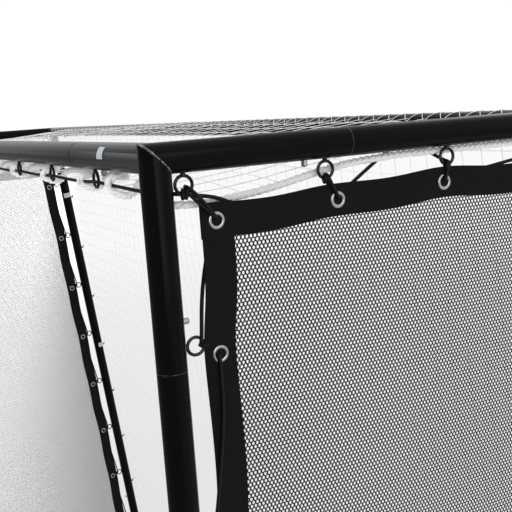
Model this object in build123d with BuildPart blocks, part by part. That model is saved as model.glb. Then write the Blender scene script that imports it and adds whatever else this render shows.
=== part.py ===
"""Goal-shaped ball rebounder: a steel tube cage with a laced mesh panel in each short side.

The frame stands on its ground bars. X runs along the goal mouth, Y from the mouth to the back
and Z up. The origin is on the floor under the middle of the whole object.
"""
from build123d import *
from math import atan2, degrees
import os

# Overall frame, measured between tube axes
frame_width = 2962.0
frame_height = 1962.0
top_depth = 654.0
ground_depth = 870.0

# Tube stock and its swaged spigots
tube_radius = 19.0
tube_wall = 1.5
spigot_clearance = 0.2
spigot_length = 125.0
neck_length = 2.0

# Corner fittings: length of each arm from the corner's axis, and where its button sits
cross_arm = 292.0
cross_button = 192.0
side_arm = 262.0
side_button = 199.0
post_arm = 253.0
post_button = 195.0

# The square arm is drawn this much under the mitred pair, where the weld runs round it
weld_step = 0.1

# Snap buttons
button_radius = 4.0
button_clearance = 0.3
button_proud = 8.0
button_dome = 2.5
leaf_width = 8.0
leaf_thickness = 0.8
leaf_length = 44.0
leaf_gap = 0.5

# Eyes welded to the tubes, in a plane that holds the tube's axis
eye_inner_radius = 9.0
eye_wire = 4.2
eye_drop = 33.0
stub_radius = 3.0
weld_gap = 0.2
top_eye_inset = 34.0
top_eye_count = 4
post_eye_first = 228.0
post_eye_count = 8
cross_eye_first = 231.0
cross_eye_pitch = 236.0

# Rebounder panels
panel_side_gap = 51.0
panel_top_gap = 57.0
webbing_width = 42.0
webbing_thickness = 2.4
mesh_thickness = 1.6
seam_gap = 0.3
grommet_radius = 11.5
grommet_bore = 6.0
grommet_thickness = 3.6
grommet_gap = 0.2
first_drop = 165.0
grommets_down = 8
grommets_across = 4

# Cords and net
lace_radius = 2.3
lace_offset = 4.6
lace_bend = 3.6
lace_gap = 0.3
lace_step = 24.0
rope_radius = 4.5
rope_inset = 13.0
rope_drop = 44.0
rope_bend = 40.0
net_thickness = 2.0
net_gap = 0.6
net_front_inset = 24.0
net_front_drop = 38.0
hook_reach = 13.0
hook_width = 3.0
hook_rise = 15.0
hook_pitch = 235.0

# Worked out from the sizes above
bore_radius = tube_radius - tube_wall
spigot_radius = bore_radius - spigot_clearance
spigot_bore = spigot_radius - tube_wall
axis_x = frame_width / 2
mouth_y = -(ground_depth + hook_reach) / 2
top_back_y = mouth_y + top_depth
ground_back_y = mouth_y + ground_depth
ground_z = tube_radius
top_z = ground_z + frame_height
up = Vector(0, 0, 1)
back = Vector(0, 1, 0)
lean = (Vector(0, ground_back_y, ground_z) - Vector(0, top_back_y, top_z)).normalized()
lean_normal = Vector(0, -lean.Z, lean.Y)
back_post_length = (Vector(0, ground_back_y, ground_z) - Vector(0, top_back_y, top_z)).length
side_signs = {"right": 1, "left": -1}

os.makedirs("parts", exist_ok=True)


def save(part, name):
    part.label = name
    export_step(part, f"parts/{name}.step")


def limb(radius, corner, direction, length, mitre_with=None, start=None):
    """One round arm from a corner, cut at the mitre plane it shares with another arm."""
    first = -2 * radius if mitre_with else (start or 0.0)
    with BuildPart() as arm:
        with BuildSketch(Plane(origin=corner + direction * first, z_dir=direction)):
            Circle(radius)
        extrude(amount=length - first)
        if mitre_with:
            split(bisect_by=Plane(origin=corner, z_dir=direction - mitre_with), keep=Keep.TOP)
    return arm.part


def button_hole(axis_point, facing):
    """A round cut through one wall of a tube, from its axis outwards."""
    with BuildPart(mode=Mode.PRIVATE) as cut:
        with BuildSketch(Plane(origin=axis_point, z_dir=facing)):
            Circle(button_radius + button_clearance)
        extrude(amount=tube_radius * 1.5)
    return cut.part


def spigot_profile(axial, radial, seam, length):
    """Half section of a swaged spigot that starts at a seam and runs on along the tube."""
    reach = [(tube_radius, -neck_length), (spigot_radius, 0), (spigot_radius, length)]
    inner = [(spigot_bore, length), (spigot_bore, 0), (bore_radius, -neck_length)]
    return [seam + radial * r + axial * a for r, a in reach + inner]


def tube(name, start, end, spigots, holes):
    """A length of tube between two seams, with a swaged spigot at each end that is listed."""
    axial = (end - start).normalized()
    radial = axial.cross(Vector(1, 0, 0) if abs(axial.X) < 0.5 else Vector(0, 1, 0)).normalized()
    outline = []
    if "start" in spigots:
        outline += list(reversed(spigot_profile(-axial, radial, start, spigot_length)))
    else:
        outline += [start + radial * bore_radius, start + radial * tube_radius]
    if "end" in spigots:
        outline += spigot_profile(axial, radial, end, spigot_length)
    else:
        outline += [end + radial * tube_radius, end + radial * bore_radius]
    with BuildPart() as body:
        with BuildSketch(Plane(origin=start, x_dir=radial, z_dir=radial.cross(axial))) as section:
            with BuildLine():
                Polyline(*[section.workplanes[0].to_local_coords(p) for p in outline], close=True)
            make_face()
        revolve(axis=Axis(start, axial))
        for point, facing in holes:
            add(button_hole(point, facing), mode=Mode.SUBTRACT)
    save(body.part, name)


def corner(name, point, mitred, square=None, holes=(), spigot=None):
    """A welded corner: two mitred arms and, where given, a third arm square to both."""
    (dir_a, len_a), (dir_b, len_b) = mitred
    with BuildPart() as fitting:
        add(limb(tube_radius, point, dir_a, len_a, dir_b))
        add(limb(tube_radius, point, dir_b, len_b, dir_a))
        if square:
            add(limb(tube_radius - weld_step, point, *square))
        add(limb(bore_radius, point, dir_a, len_a, dir_b), mode=Mode.SUBTRACT)
        add(limb(bore_radius, point, dir_b, len_b, dir_a), mode=Mode.SUBTRACT)
        if square:
            add(limb(bore_radius, point, *square, start=tube_radius + tube_wall), mode=Mode.SUBTRACT)
        if spigot:
            seam = point + spigot * len_a
            radial = Vector(1, 0, 0)
            outline = spigot_profile(spigot, radial, seam, spigot_length)
            with BuildSketch(Plane(origin=seam, x_dir=radial, z_dir=radial.cross(spigot))) as section:
                with BuildLine():
                    Polyline(*[section.workplanes[0].to_local_coords(p) for p in outline], close=True)
                make_face()
            revolve(axis=Axis(seam, spigot))
        for place, facing in holes:
            add(button_hole(place, facing), mode=Mode.SUBTRACT)
    save(fitting.part, name)


def snap_button(name, axis_point, facing, away):
    """A domed button on its moving leaf; away points down the tube from the open end."""
    leaf_top = (spigot_bore**2 - (leaf_width / 2) ** 2) ** 0.5 - leaf_gap
    head = tube_radius + button_proud
    with BuildPart() as button:
        with BuildSketch(Plane(origin=axis_point + facing * (leaf_top - leaf_thickness), z_dir=facing)):
            Circle(button_radius)
        extrude(amount=head - leaf_top + leaf_thickness)
        fillet(button.edges().sort_by(Axis(axis_point, facing))[-1], button_dome)
        middle = axis_point + facing * (leaf_top - leaf_thickness) + away * (leaf_length / 2 - button_radius)
        with BuildSketch(Plane(origin=middle, x_dir=away, z_dir=facing)):
            Rectangle(leaf_length, leaf_width)
        extrude(amount=leaf_thickness)
    save(button.part, name)
    root_end = axis_point + away * (leaf_length - button_radius + leaf_gap)
    with BuildPart(mode=Mode.PRIVATE) as anchor:
        bow = root_end + away * (leaf_thickness / 2) - facing * leaf_top
        with BuildSketch(Plane(origin=bow, x_dir=away, z_dir=facing)):
            Rectangle(leaf_thickness, leaf_width)
        extrude(amount=leaf_top * 2)
        foot = root_end - away * (leaf_length / 2) - facing * leaf_top
        with BuildSketch(Plane(origin=foot, x_dir=away, z_dir=facing)):
            Rectangle(leaf_length, leaf_width)
        extrude(amount=leaf_thickness)
    return anchor.part


def eye(tube_point, outward, normal):
    """A closed wire ring on a short stub; normal is the ring's own axis."""
    centre = tube_point + outward * eye_drop
    outer = eye_inner_radius + eye_wire
    with BuildPart(mode=Mode.PRIVATE) as ring:
        with BuildSketch(Plane(origin=centre - normal * (eye_wire / 2), z_dir=normal)):
            Circle(outer)
            Circle(eye_inner_radius, mode=Mode.SUBTRACT)
        extrude(amount=eye_wire)
        with BuildSketch(Plane(origin=tube_point + outward * (tube_radius + weld_gap), z_dir=outward)):
            Circle(stub_radius)
        extrude(amount=eye_drop - eye_inner_radius - tube_radius - weld_gap - eye_wire / 2)
    return ring.part


def ring_plate(centre, normal, outer, inner, thickness):
    with BuildPart(mode=Mode.PRIVATE) as plate:
        with BuildSketch(Plane(origin=centre - normal * (thickness / 2), z_dir=normal)):
            Circle(outer)
            Circle(inner, mode=Mode.SUBTRACT)
        extrude(amount=thickness)
    return plate.part


def cord(name, points, radius, bend, closed=False):
    """A round cord along straight runs joined by tangent arcs."""
    with BuildPart() as line:
        with BuildLine() as path:
            FilletPolyline(*points, radius=bend, close=closed)
        with BuildSketch(Plane(origin=path.wire() @ 0, z_dir=path.wire() % 0)):
            Circle(radius)
        sweep()
    save(line.part, name)


def gather(name, solids):
    save(Compound(children=list(solids)), name)


# ---- frame ---------------------------------------------------------------------------------
springs = []
buttons = []


def socket(label, corner_point, direction, distance, facing):
    """The place of one snap button: the hole's axis point, with its button and spring made."""
    place = corner_point + direction * distance
    springs.append(snap_button(f"button_{label}", place, facing, direction))
    buttons.append(label)
    return (place, facing)


for side, sign in side_signs.items():
    inward = Vector(-sign, 0, 0)
    front_top = Vector(sign * axis_x, mouth_y, top_z)
    front_low = Vector(sign * axis_x, mouth_y, ground_z)
    back_top = Vector(sign * axis_x, top_back_y, top_z)
    back_low = Vector(sign * axis_x, ground_back_y, ground_z)
    post_facing = Vector(0, -lean_normal.Y, -lean_normal.Z)

    cross = socket(f"crossbar_{side}", front_top, inward, cross_button, -up)
    side_top = socket(f"side_top_{side}", front_top, back, side_button, -up)
    front_up = socket(f"front_post_top_{side}", front_top, -up, post_button, back)
    top_bar = socket(f"back_top_bar_{side}", back_top, inward, cross_button, -up)
    back_up = socket(f"back_post_top_{side}", back_top, lean, post_button, post_facing)
    front_down = socket(f"front_post_foot_{side}", front_low, up, post_button, back)
    runner_front = socket(f"runner_front_{side}", front_low, back, side_button, up)
    back_down = socket(f"back_post_foot_{side}", back_low, -lean, post_button, post_facing)
    ground_bar = socket(f"ground_bar_{side}", back_low, inward, cross_button, up)
    runner_back = socket(f"runner_back_{side}", back_low, -back, side_button, up)

    corner(f"corner_front_top_{side}", front_top, [(back, side_arm), (-up, post_arm)],
           (inward, cross_arm), [cross, side_top, front_up])
    corner(f"corner_back_top_{side}", back_top, [(-back, top_depth - side_arm), (lean, post_arm)],
           (inward, cross_arm), [side_top, top_bar, back_up], spigot=-back)
    corner(f"corner_front_foot_{side}", front_low, [(back, side_arm), (up, post_arm)],
           None, [front_down, runner_front])
    corner(f"corner_back_foot_{side}", back_low, [(-back, side_arm), (-lean, post_arm)],
           (inward, cross_arm), [back_down, ground_bar, runner_back])

    front_middle = front_top - up * (frame_height / 2)
    tube(f"front_post_upper_{side}", front_top - up * post_arm, front_middle, ["start", "end"], [front_up])
    tube(f"front_post_lower_{side}", front_middle, front_low + up * post_arm, ["end"], [front_down])
    back_middle = back_top + lean * (back_post_length / 2)
    tube(f"back_post_upper_{side}", back_top + lean * post_arm, back_middle, ["start", "end"], [back_up])
    tube(f"back_post_lower_{side}", back_middle, back_low - lean * post_arm, ["end"], [back_down])
    tube(f"ground_runner_{side}", front_low + back * side_arm, back_low - back * side_arm,
         ["start", "end"], [runner_front, runner_back])
    middle_spigot = ["start", "end"] if side == "left" else ["start"]
    for bar, corner_point, hole in [("crossbar", front_top, cross), ("back_top_bar", back_top, top_bar),
                                    ("ground_bar", back_low, ground_bar)]:
        seam = corner_point + inward * cross_arm
        tube(f"{bar}_{side}", seam, Vector(0, seam.Y, seam.Z), middle_spigot, [hole])

gather("button_springs", springs)

# ---- rebounder panels ----------------------------------------------------------------------
lean_slope = (ground_depth - top_depth) / frame_height


def panel_edge(inset):
    """The four corners of the panel in (y, z), moved in from the webbing's outer edge."""
    high = top_z - panel_top_gap - inset
    low = ground_z + panel_top_gap + inset
    front = mouth_y + panel_side_gap + inset
    rear = [top_back_y + (top_z - z) * lean_slope - (panel_side_gap + inset) for z in (high, low)]
    return [(front, high), (rear[0], high), (rear[1], low), (front, low)]


def spread(first, last, count):
    return [first + (last - first) * i / (count - 1) for i in range(count)]


centre_line = webbing_width / 2
(g_front, g_high), (g_rear_top, _), (g_rear_low, g_low), _ = panel_edge(centre_line)


def rear_y(z, offset):
    return top_back_y + (top_z - z) * lean_slope - offset


# Stations round the panel in lacing order: along the top, down the back, along the foot, up the front
top_eyes_y = spread(mouth_y + top_eye_inset, top_back_y - top_eye_inset, top_eye_count)
top_grommets_y = spread(g_front, g_rear_top, grommets_across)
rear_grommets_z = spread(g_high - first_drop, g_low, grommets_down)[:-1]
foot_grommets_y = spread(g_rear_low, g_front, grommets_across + 1)
foot_eye_inset = top_eye_inset + 2 * eye_drop * lean_slope
foot_eyes_y = spread(ground_back_y - foot_eye_inset, mouth_y + top_eye_inset, top_eye_count + 1)
front_grommets_z = spread(g_low, g_high - first_drop, grommets_down)[1:]
post_eye_lift = panel_top_gap + centre_line + first_drop - post_eye_first
lean_angle = degrees(atan2(ground_depth - top_depth, frame_height))


def panel_stations(x):
    """Eye and grommet pairs: (point on tube axis, direction to the ring, grommet centre)."""
    pairs = []
    for eye_y, hole_y in zip(top_eyes_y, top_grommets_y):
        pairs.append((Vector(x, eye_y, top_z), -up, Vector(x, hole_y, g_high)))
    for hole_z in rear_grommets_z:
        eye_z = hole_z + post_eye_lift
        on_axis = Vector(x, rear_y(eye_z, 0), eye_z)
        pairs.append((on_axis, Vector(0, -lean_normal.Y, -lean_normal.Z),
                      Vector(x, rear_y(hole_z, panel_side_gap + centre_line), hole_z)))
    for eye_y, hole_y in zip(foot_eyes_y, foot_grommets_y):
        pairs.append((Vector(x, eye_y, ground_z), up, Vector(x, hole_y, g_low)))
    for hole_z in front_grommets_z:
        pairs.append((Vector(x, mouth_y, hole_z + post_eye_lift), back, Vector(x, g_front, hole_z)))
    return pairs


eyes = []
for side, sign in side_signs.items():
    x = sign * axis_x
    out = Vector(sign, 0, 0)
    stations = panel_stations(x)
    holes = [hole for _, _, hole in stations]
    with BuildPart() as webbing:
        with BuildSketch(Plane.YZ.offset(x - webbing_thickness / 2)):
            with BuildLine():
                Polyline(*panel_edge(0), close=True)
            make_face()
            with BuildLine():
                Polyline(*panel_edge(webbing_width), close=True)
            make_face(mode=Mode.SUBTRACT)
            with Locations(*[(h.Y, h.Z) for h in holes]):
                Circle(grommet_radius + grommet_gap, mode=Mode.SUBTRACT)
        extrude(amount=webbing_thickness)
    save(webbing.part, f"panel_webbing_{side}")
    with BuildPart() as mesh:
        with BuildSketch(Plane.YZ.offset(x - mesh_thickness / 2)):
            with BuildLine():
                Polyline(*panel_edge(webbing_width + seam_gap), close=True)
            make_face()
        extrude(amount=mesh_thickness)
    save(mesh.part, f"rebounder_mesh_{side}")
    gather(f"grommets_{side}", [ring_plate(h, out, grommet_radius, grommet_bore, grommet_thickness)
                                for h in holes])
    route = []
    for on_axis, outward, hole in stations:
        ring = on_axis + outward * eye_drop
        eyes.append(eye(on_axis, outward, out))
        route += [ring - out * lace_offset, ring + out * lace_offset,
                  hole + out * lace_offset, hole - out * lace_offset]
    cord(f"panel_lacing_{side}", route, lace_radius, lace_bend)

# ---- net, its border rope and its lacing ---------------------------------------------------
cross_eyes_x = []
place = axis_x - cross_eye_first
while place > 0:
    cross_eyes_x += [place, -place]
    place -= cross_eye_pitch
cross_eyes_x.sort(reverse=True)
for eye_x in cross_eyes_x:
    eyes.append(eye(Vector(eye_x, mouth_y, top_z), -up, back))
gather("lacing_eyes", eyes)

net_x = axis_x - rope_inset
lift = tube_radius + net_gap
front_edge = Vector(0, mouth_y + net_front_inset, top_z - net_front_drop)
crest_in = Vector(0, top_back_y - tube_radius, top_z + lift)
crest_out = Vector(0, top_back_y, top_z + lift)
with BuildPart() as top_net:
    with BuildSketch(Plane.YZ.offset(-(net_x - 2 * rope_radius))):
        with BuildLine():
            Polyline((front_edge.Y, front_edge.Z), (crest_in.Y, crest_in.Z), (crest_out.Y, crest_out.Z),
                     (crest_out.Y, crest_out.Z + net_thickness), (crest_in.Y, crest_in.Z + net_thickness),
                     (front_edge.Y, front_edge.Z + net_thickness), close=True)
        make_face()
    extrude(amount=2 * (net_x - 2 * rope_radius))
save(top_net.part, "net_top")

slope_start = Vector(0, top_back_y, top_z) + lean_normal * lift
slope_end = slope_start + lean * back_post_length
with BuildPart() as back_net:
    with BuildSketch(Plane.YZ.offset(-axis_x)):
        with BuildLine():
            Polyline(*[(p.Y, p.Z) for p in (slope_start, slope_start + lean_normal * net_thickness,
                                            slope_end + lean_normal * net_thickness, slope_end)],
                     close=True)
        make_face()
    extrude(amount=frame_width)
save(back_net.part, "net_back")


def rope_point(x_sign, y, z):
    return Vector(x_sign * net_x, y, z)


rope_front = mouth_y + rope_inset
rope_back = top_back_y - tube_radius - 2 * rope_radius
rope_z = top_z - rope_drop
cord("net_border_rope", [rope_point(1, rope_back, rope_z), rope_point(1, rope_front, rope_z),
                         rope_point(-1, rope_front, rope_z), rope_point(-1, rope_back, rope_z)],
     rope_radius, rope_bend)

rope_clear = rope_radius + lace_radius + lace_gap
lace_route = []
for eye_x in cross_eyes_x:
    ring = Vector(eye_x, mouth_y, top_z - eye_drop)
    behind, below = rope_front + rope_clear, rope_z - rope_clear
    lace_route += [ring - back * lace_offset, ring + back * lace_offset,
                   Vector(eye_x - lace_step, behind, ring.Z - lace_gap),
                   Vector(eye_x - 2 * lace_step, behind, below),
                   Vector(eye_x - 3 * lace_step, mouth_y - lace_offset, below)]
cord("net_lacing", lace_route[:-3], lace_radius, lace_bend)

# ---- net hooks on the back of the frame ----------------------------------------------------


def hook(tube_point, outward, rise):
    """A thin fin welded on the tube, with an upturned tip that holds a net mesh."""
    seat = tube_point + outward * (tube_radius + weld_gap)
    reach = hook_reach - weld_gap
    plane = Plane(origin=seat, x_dir=outward, z_dir=outward.cross(rise))
    with BuildPart(mode=Mode.PRIVATE) as fin:
        with BuildSketch(plane):
            with BuildLine():
                Polyline((0, 0), (reach * 0.6, 0), (reach, hook_rise), (reach * 0.5, hook_rise * 0.45),
                         (0, hook_rise * 0.5), close=True)
            make_face()
        extrude(amount=hook_width / 2, both=True)
    return fin.part


hooks = []
post_hooks = int((back_post_length - 2 * post_arm) / hook_pitch)
for sign in side_signs.values():
    for i in range(post_hooks + 1):
        at = Vector(sign * axis_x, top_back_y, top_z) + lean * (post_arm + 50 + i * hook_pitch)
        hooks.append(hook(at, lean_normal, -lean))
for hook_x in cross_eyes_x:
    hooks.append(hook(Vector(hook_x, ground_back_y, ground_z), back, up))
gather("net_hooks", hooks)
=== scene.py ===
"""Looks of the goal-shaped rebounder: tubes, laced mesh panels, net, rope and cords."""
import math
import random

import bmesh
import bpy
from bpy.props import FloatProperty, FloatVectorProperty, IntProperty, PointerProperty
from mathutils import Matrix, Vector


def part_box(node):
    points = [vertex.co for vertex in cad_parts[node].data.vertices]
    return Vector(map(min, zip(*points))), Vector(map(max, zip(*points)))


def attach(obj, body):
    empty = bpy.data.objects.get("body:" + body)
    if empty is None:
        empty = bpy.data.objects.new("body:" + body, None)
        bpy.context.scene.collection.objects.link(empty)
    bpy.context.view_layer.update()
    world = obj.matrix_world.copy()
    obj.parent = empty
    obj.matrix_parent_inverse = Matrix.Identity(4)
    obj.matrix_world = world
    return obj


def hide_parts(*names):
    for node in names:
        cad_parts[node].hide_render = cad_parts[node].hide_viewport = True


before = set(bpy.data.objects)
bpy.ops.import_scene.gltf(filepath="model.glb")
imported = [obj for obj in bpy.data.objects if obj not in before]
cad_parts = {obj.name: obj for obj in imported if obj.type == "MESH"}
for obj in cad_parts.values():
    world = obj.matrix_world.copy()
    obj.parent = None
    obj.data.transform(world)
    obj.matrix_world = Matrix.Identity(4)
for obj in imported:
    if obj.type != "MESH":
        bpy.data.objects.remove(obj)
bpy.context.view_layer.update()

bl_info = {
    "name": "Rebounder Goal",
    "version": (1, 0, 0),
    "blender": (4, 5, 0),
    "location": "View3D > Sidebar > Rebounder",
    "description": "Dresses a tube goal with laced mesh side panels and a white net",
    "category": "Add Mesh",
}

MM = 0.001
BODY = "frame"
SIDES = {"right": 1, "left": -1}


def mm(x, y, z):
    """A vector given in millimetres."""
    return Vector((x, y, z)) * MM


def middle(piece):
    low, high = map(Vector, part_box(piece))
    return (low + high) / 2


def extent(piece):
    low, high = map(Vector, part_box(piece))
    return high - low


WIDE, DEEP, UP = (Vector(way) for way in Matrix.Identity(3))

# The frame's own lines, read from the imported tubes
TUBE_R = extent("crossbar_right").z / 2
AXIS_X = middle("front_post_upper_right").x
MOUTH_Y = middle("crossbar_right").y
TOP_Z = middle("crossbar_right").z
TOP_BACK_Y = middle("back_top_bar_right").y
GROUND_Z = middle("ground_runner_right").z
GROUND_BACK_Y = Vector(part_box("corner_back_foot_right")[1]).y - TUBE_R
HEIGHT = TOP_Z - GROUND_Z
LEAN = (GROUND_BACK_Y - TOP_BACK_Y) / HEIGHT
BACK_DOWN = Vector((0, LEAN, -1)).normalized()
BACK_OUT = Vector((0, -BACK_DOWN.z, BACK_DOWN.y))

# Where the eyes and grommets stand
EYE_FIRST, EYE_PITCH = 231 * MM, 236 * MM  # along the crossbar, from the post's axis
EYE_INSET = 34 * MM  # from a corner to the first eye on a side tube
POST_EYE_DROP = 228 * MM  # from the top tube's axis to the first eye on a post
GROMMET_DROP = 165 * MM  # from a panel's top row of grommets to the next one down
ACROSS, DOWN = 4, 8  # grommets along a panel's top and down its side
FOOT = ACROSS + DOWN - 1  # in lacing order, the first grommet along the foot
FRONT = FOOT + ACROSS  # the last one along the foot, where the front post's side starts
LACE_OFF = 4.6 * MM  # from the tape's middle to the cord on its face
HOLE_WIDE, HOLE_TALL = 0.87, 1.12  # the knit's tension makes its holes narrower and taller


# ---- sizes and colours a user would change -----------------------------------------------------
def length(name, text, default):
    return FloatProperty(name=name, description=text, default=default, min=0.0, unit="LENGTH")


def colour(name, text, hex_value):
    return FloatVectorProperty(name=name, description=text, default=linear(hex_value), size=4,
                               min=0.0, max=1.0, subtype="COLOR")


def linear(hex_value):
    """A hex sRGB colour as linear RGBA."""
    channels = [int(hex_value[i:i + 2], 16) / 255 for i in (1, 3, 5)]
    return [c / 12.92 if c <= 0.04045 else ((c + 0.055) / 1.055) ** 2.4 for c in channels] + [1.0]


class RebounderPanelSizes(bpy.types.PropertyGroup):
    webbing: length("Webbing", "Width of the border tape", 42 * MM)
    webbing_thick: length("Webbing thickness", "Thickness of the border tape", 2.0 * MM)
    pull: length("Pull", "How far a middle grommet draws the tape towards its eye", 6 * MM)
    slack: length("Slack", "How far the tape falls back between two grommets", 3 * MM)
    cell: length("Cell width", "Width of one mesh hexagon", 5.6 * MM)
    row: length("Row height", "Height from one row of hexagons to the next", 4.9 * MM)
    yarn: length("Yarn", "Width of the knitted bars between the holes", 1.95 * MM)
    grommet: length("Grommet", "Outer radius of a grommet", 11.5 * MM)
    grommet_bore: length("Grommet bore", "Radius of the hole in a grommet", 6 * MM)
    eye: length("Eye", "Radius of an eye at the middle of its wire", 11 * MM)
    eye_wire: length("Eye wire", "Radius of an eye's wire", 2.2 * MM)
    eye_drop: length("Eye drop", "From the tube's axis to the middle of the eye", 33 * MM)
    lace: length("Lace", "Radius of the elastic cord", 2.5 * MM)


class RebounderNetSizes(bpy.types.PropertyGroup):
    square: length("Square", "Side of one net square", 50 * MM)
    twine: length("Twine", "Radius of the net's twine", 0.6 * MM)
    rope: length("Rope", "Radius of the border rope", 5.2 * MM)
    strands: IntProperty(name="Strands", description="Strands twisted into the rope", default=3,
                         min=1)


class RebounderColours(bpy.types.PropertyGroup):
    coat: colour("Powder coat", "Satin black on the tubes", "#08080A")
    # Light grey, so the weld bead shows painted glints
    weld: colour("Weld", "Bead under its thin coat", "#77777A")
    tape: colour("Webbing", "Black woven tape", "#0D0D0F")
    yarn: colour("Mesh", "Black knitted mesh", "#0A0A0B")
    lace: colour("Lace", "Black elastic cord", "#08080A")
    metal: colour("Plating", "Nickel of grommets and buttons", "#A9A7A3")
    twine: colour("Twine", "White net twine", "#ECEEF0")
    rope: colour("Rope", "White border rope", "#F2F2F0")
    label: colour("Label", "Bare grey bands on the tubes", "#AEB4BA")
    floor: colour("Floor", "Pale studio floor", "#ECEDEE")


def panel():
    return bpy.context.scene.rebounder_panel


def net():
    return bpy.context.scene.rebounder_net


def paint():
    return bpy.context.scene.rebounder_paint


# ---- materials ---------------------------------------------------------------------------------
def node(tree, kind, links=None, **settings):
    """Adds a node; links maps its inputs to another node's output."""
    made = tree.nodes.new(kind)
    for key, value in settings.items():
        if key.startswith("in_"):
            made.inputs[key[3:].replace("_", " ")].default_value = value
        else:
            setattr(made, key, value)
    for name, output in (links or {}).items():
        tree.links.new(output, made.inputs[name])
    return made


def surface(name, tint, rough, metal=0.0, spread=0.0, scale=400.0, bump=0.0, weave=None,
            shine=0.5, uv=False, rib_shade_and_light=(0.7, 1.3)):
    """A principled surface with fine colour variation and a bump. weave is the rib spacing in metres, and
    the last argument gives two factors on the colour: painted shade in the rib valleys and painted light on
    their crests."""
    made = bpy.data.materials.new(name)
    made.use_nodes = True
    tree = made.node_tree
    shader = tree.nodes["Principled BSDF"]
    shader.inputs["Metallic"].default_value = metal
    shader.inputs["Specular IOR Level"].default_value = shine
    place = node(tree, "ShaderNodeTexCoord")
    grain = node(tree, "ShaderNodeTexNoise", {"Vector": place.outputs["Object"]}, in_Scale=scale,
                 in_Detail=3.0)
    dark = [c * (1 - spread) for c in tint[:3]] + [1.0]
    light = [min(1.0, c * (1 + spread)) for c in tint[:3]] + [1.0]
    mix = node(tree, "ShaderNodeMix", {"Factor": grain.outputs["Fac"]}, data_type="RGBA")
    mix.inputs[6].default_value = dark
    mix.inputs[7].default_value = light
    tree.links.new(mix.outputs[2], shader.inputs["Base Color"])
    height = grain.outputs["Fac"]
    if weave:
        cross = node(tree, "ShaderNodeMapping", {"Vector": place.outputs["UV" if uv else "Object"]})
        cross.inputs["Scale"].default_value = [1 / weave] * 3
        ribs = node(tree, "ShaderNodeTexWave", {"Vector": cross.outputs["Vector"]}, wave_type="BANDS",
                    bands_direction="X" if uv else "Z", in_Scale=0.31, in_Distortion=0.6, in_Detail=1.0)
        warp = node(tree, "ShaderNodeTexWave", {"Vector": cross.outputs["Vector"]}, wave_type="BANDS",
                    bands_direction="Y", in_Scale=0.62 if uv else 0.31, in_Distortion=0.6, in_Detail=1.0)
        both = node(tree, "ShaderNodeMath", {0: ribs.outputs["Fac"], 1: warp.outputs["Fac"]},
                    operation="MULTIPLY")
        height = both.outputs["Value"]
        # Painted shade and light: the colour is darkened in the rib valleys and lightened on the crests
        shade = node(tree, "ShaderNodeMapRange", {"Value": height}, in_To_Min=rib_shade_and_light[0],
                     in_To_Max=rib_shade_and_light[1])
        lit = node(tree, "ShaderNodeVectorMath", {0: mix.outputs[2]}, operation="SCALE")
        tree.links.new(shade.outputs["Result"], lit.inputs["Scale"])
        tree.links.new(lit.outputs["Vector"], shader.inputs["Base Color"])
    wear = node(tree, "ShaderNodeMapRange", {"Value": grain.outputs["Fac"]},
                in_To_Min=max(0.02, rough - 0.07), in_To_Max=min(1.0, rough + 0.07))
    tree.links.new(wear.outputs["Result"], shader.inputs["Roughness"])
    if bump:
        raised = node(tree, "ShaderNodeBump", {"Height": height}, in_Distance=bump, in_Strength=0.6)
        tree.links.new(raised.outputs["Normal"], shader.inputs["Normal"])
    return made


MATERIALS = {}


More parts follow.
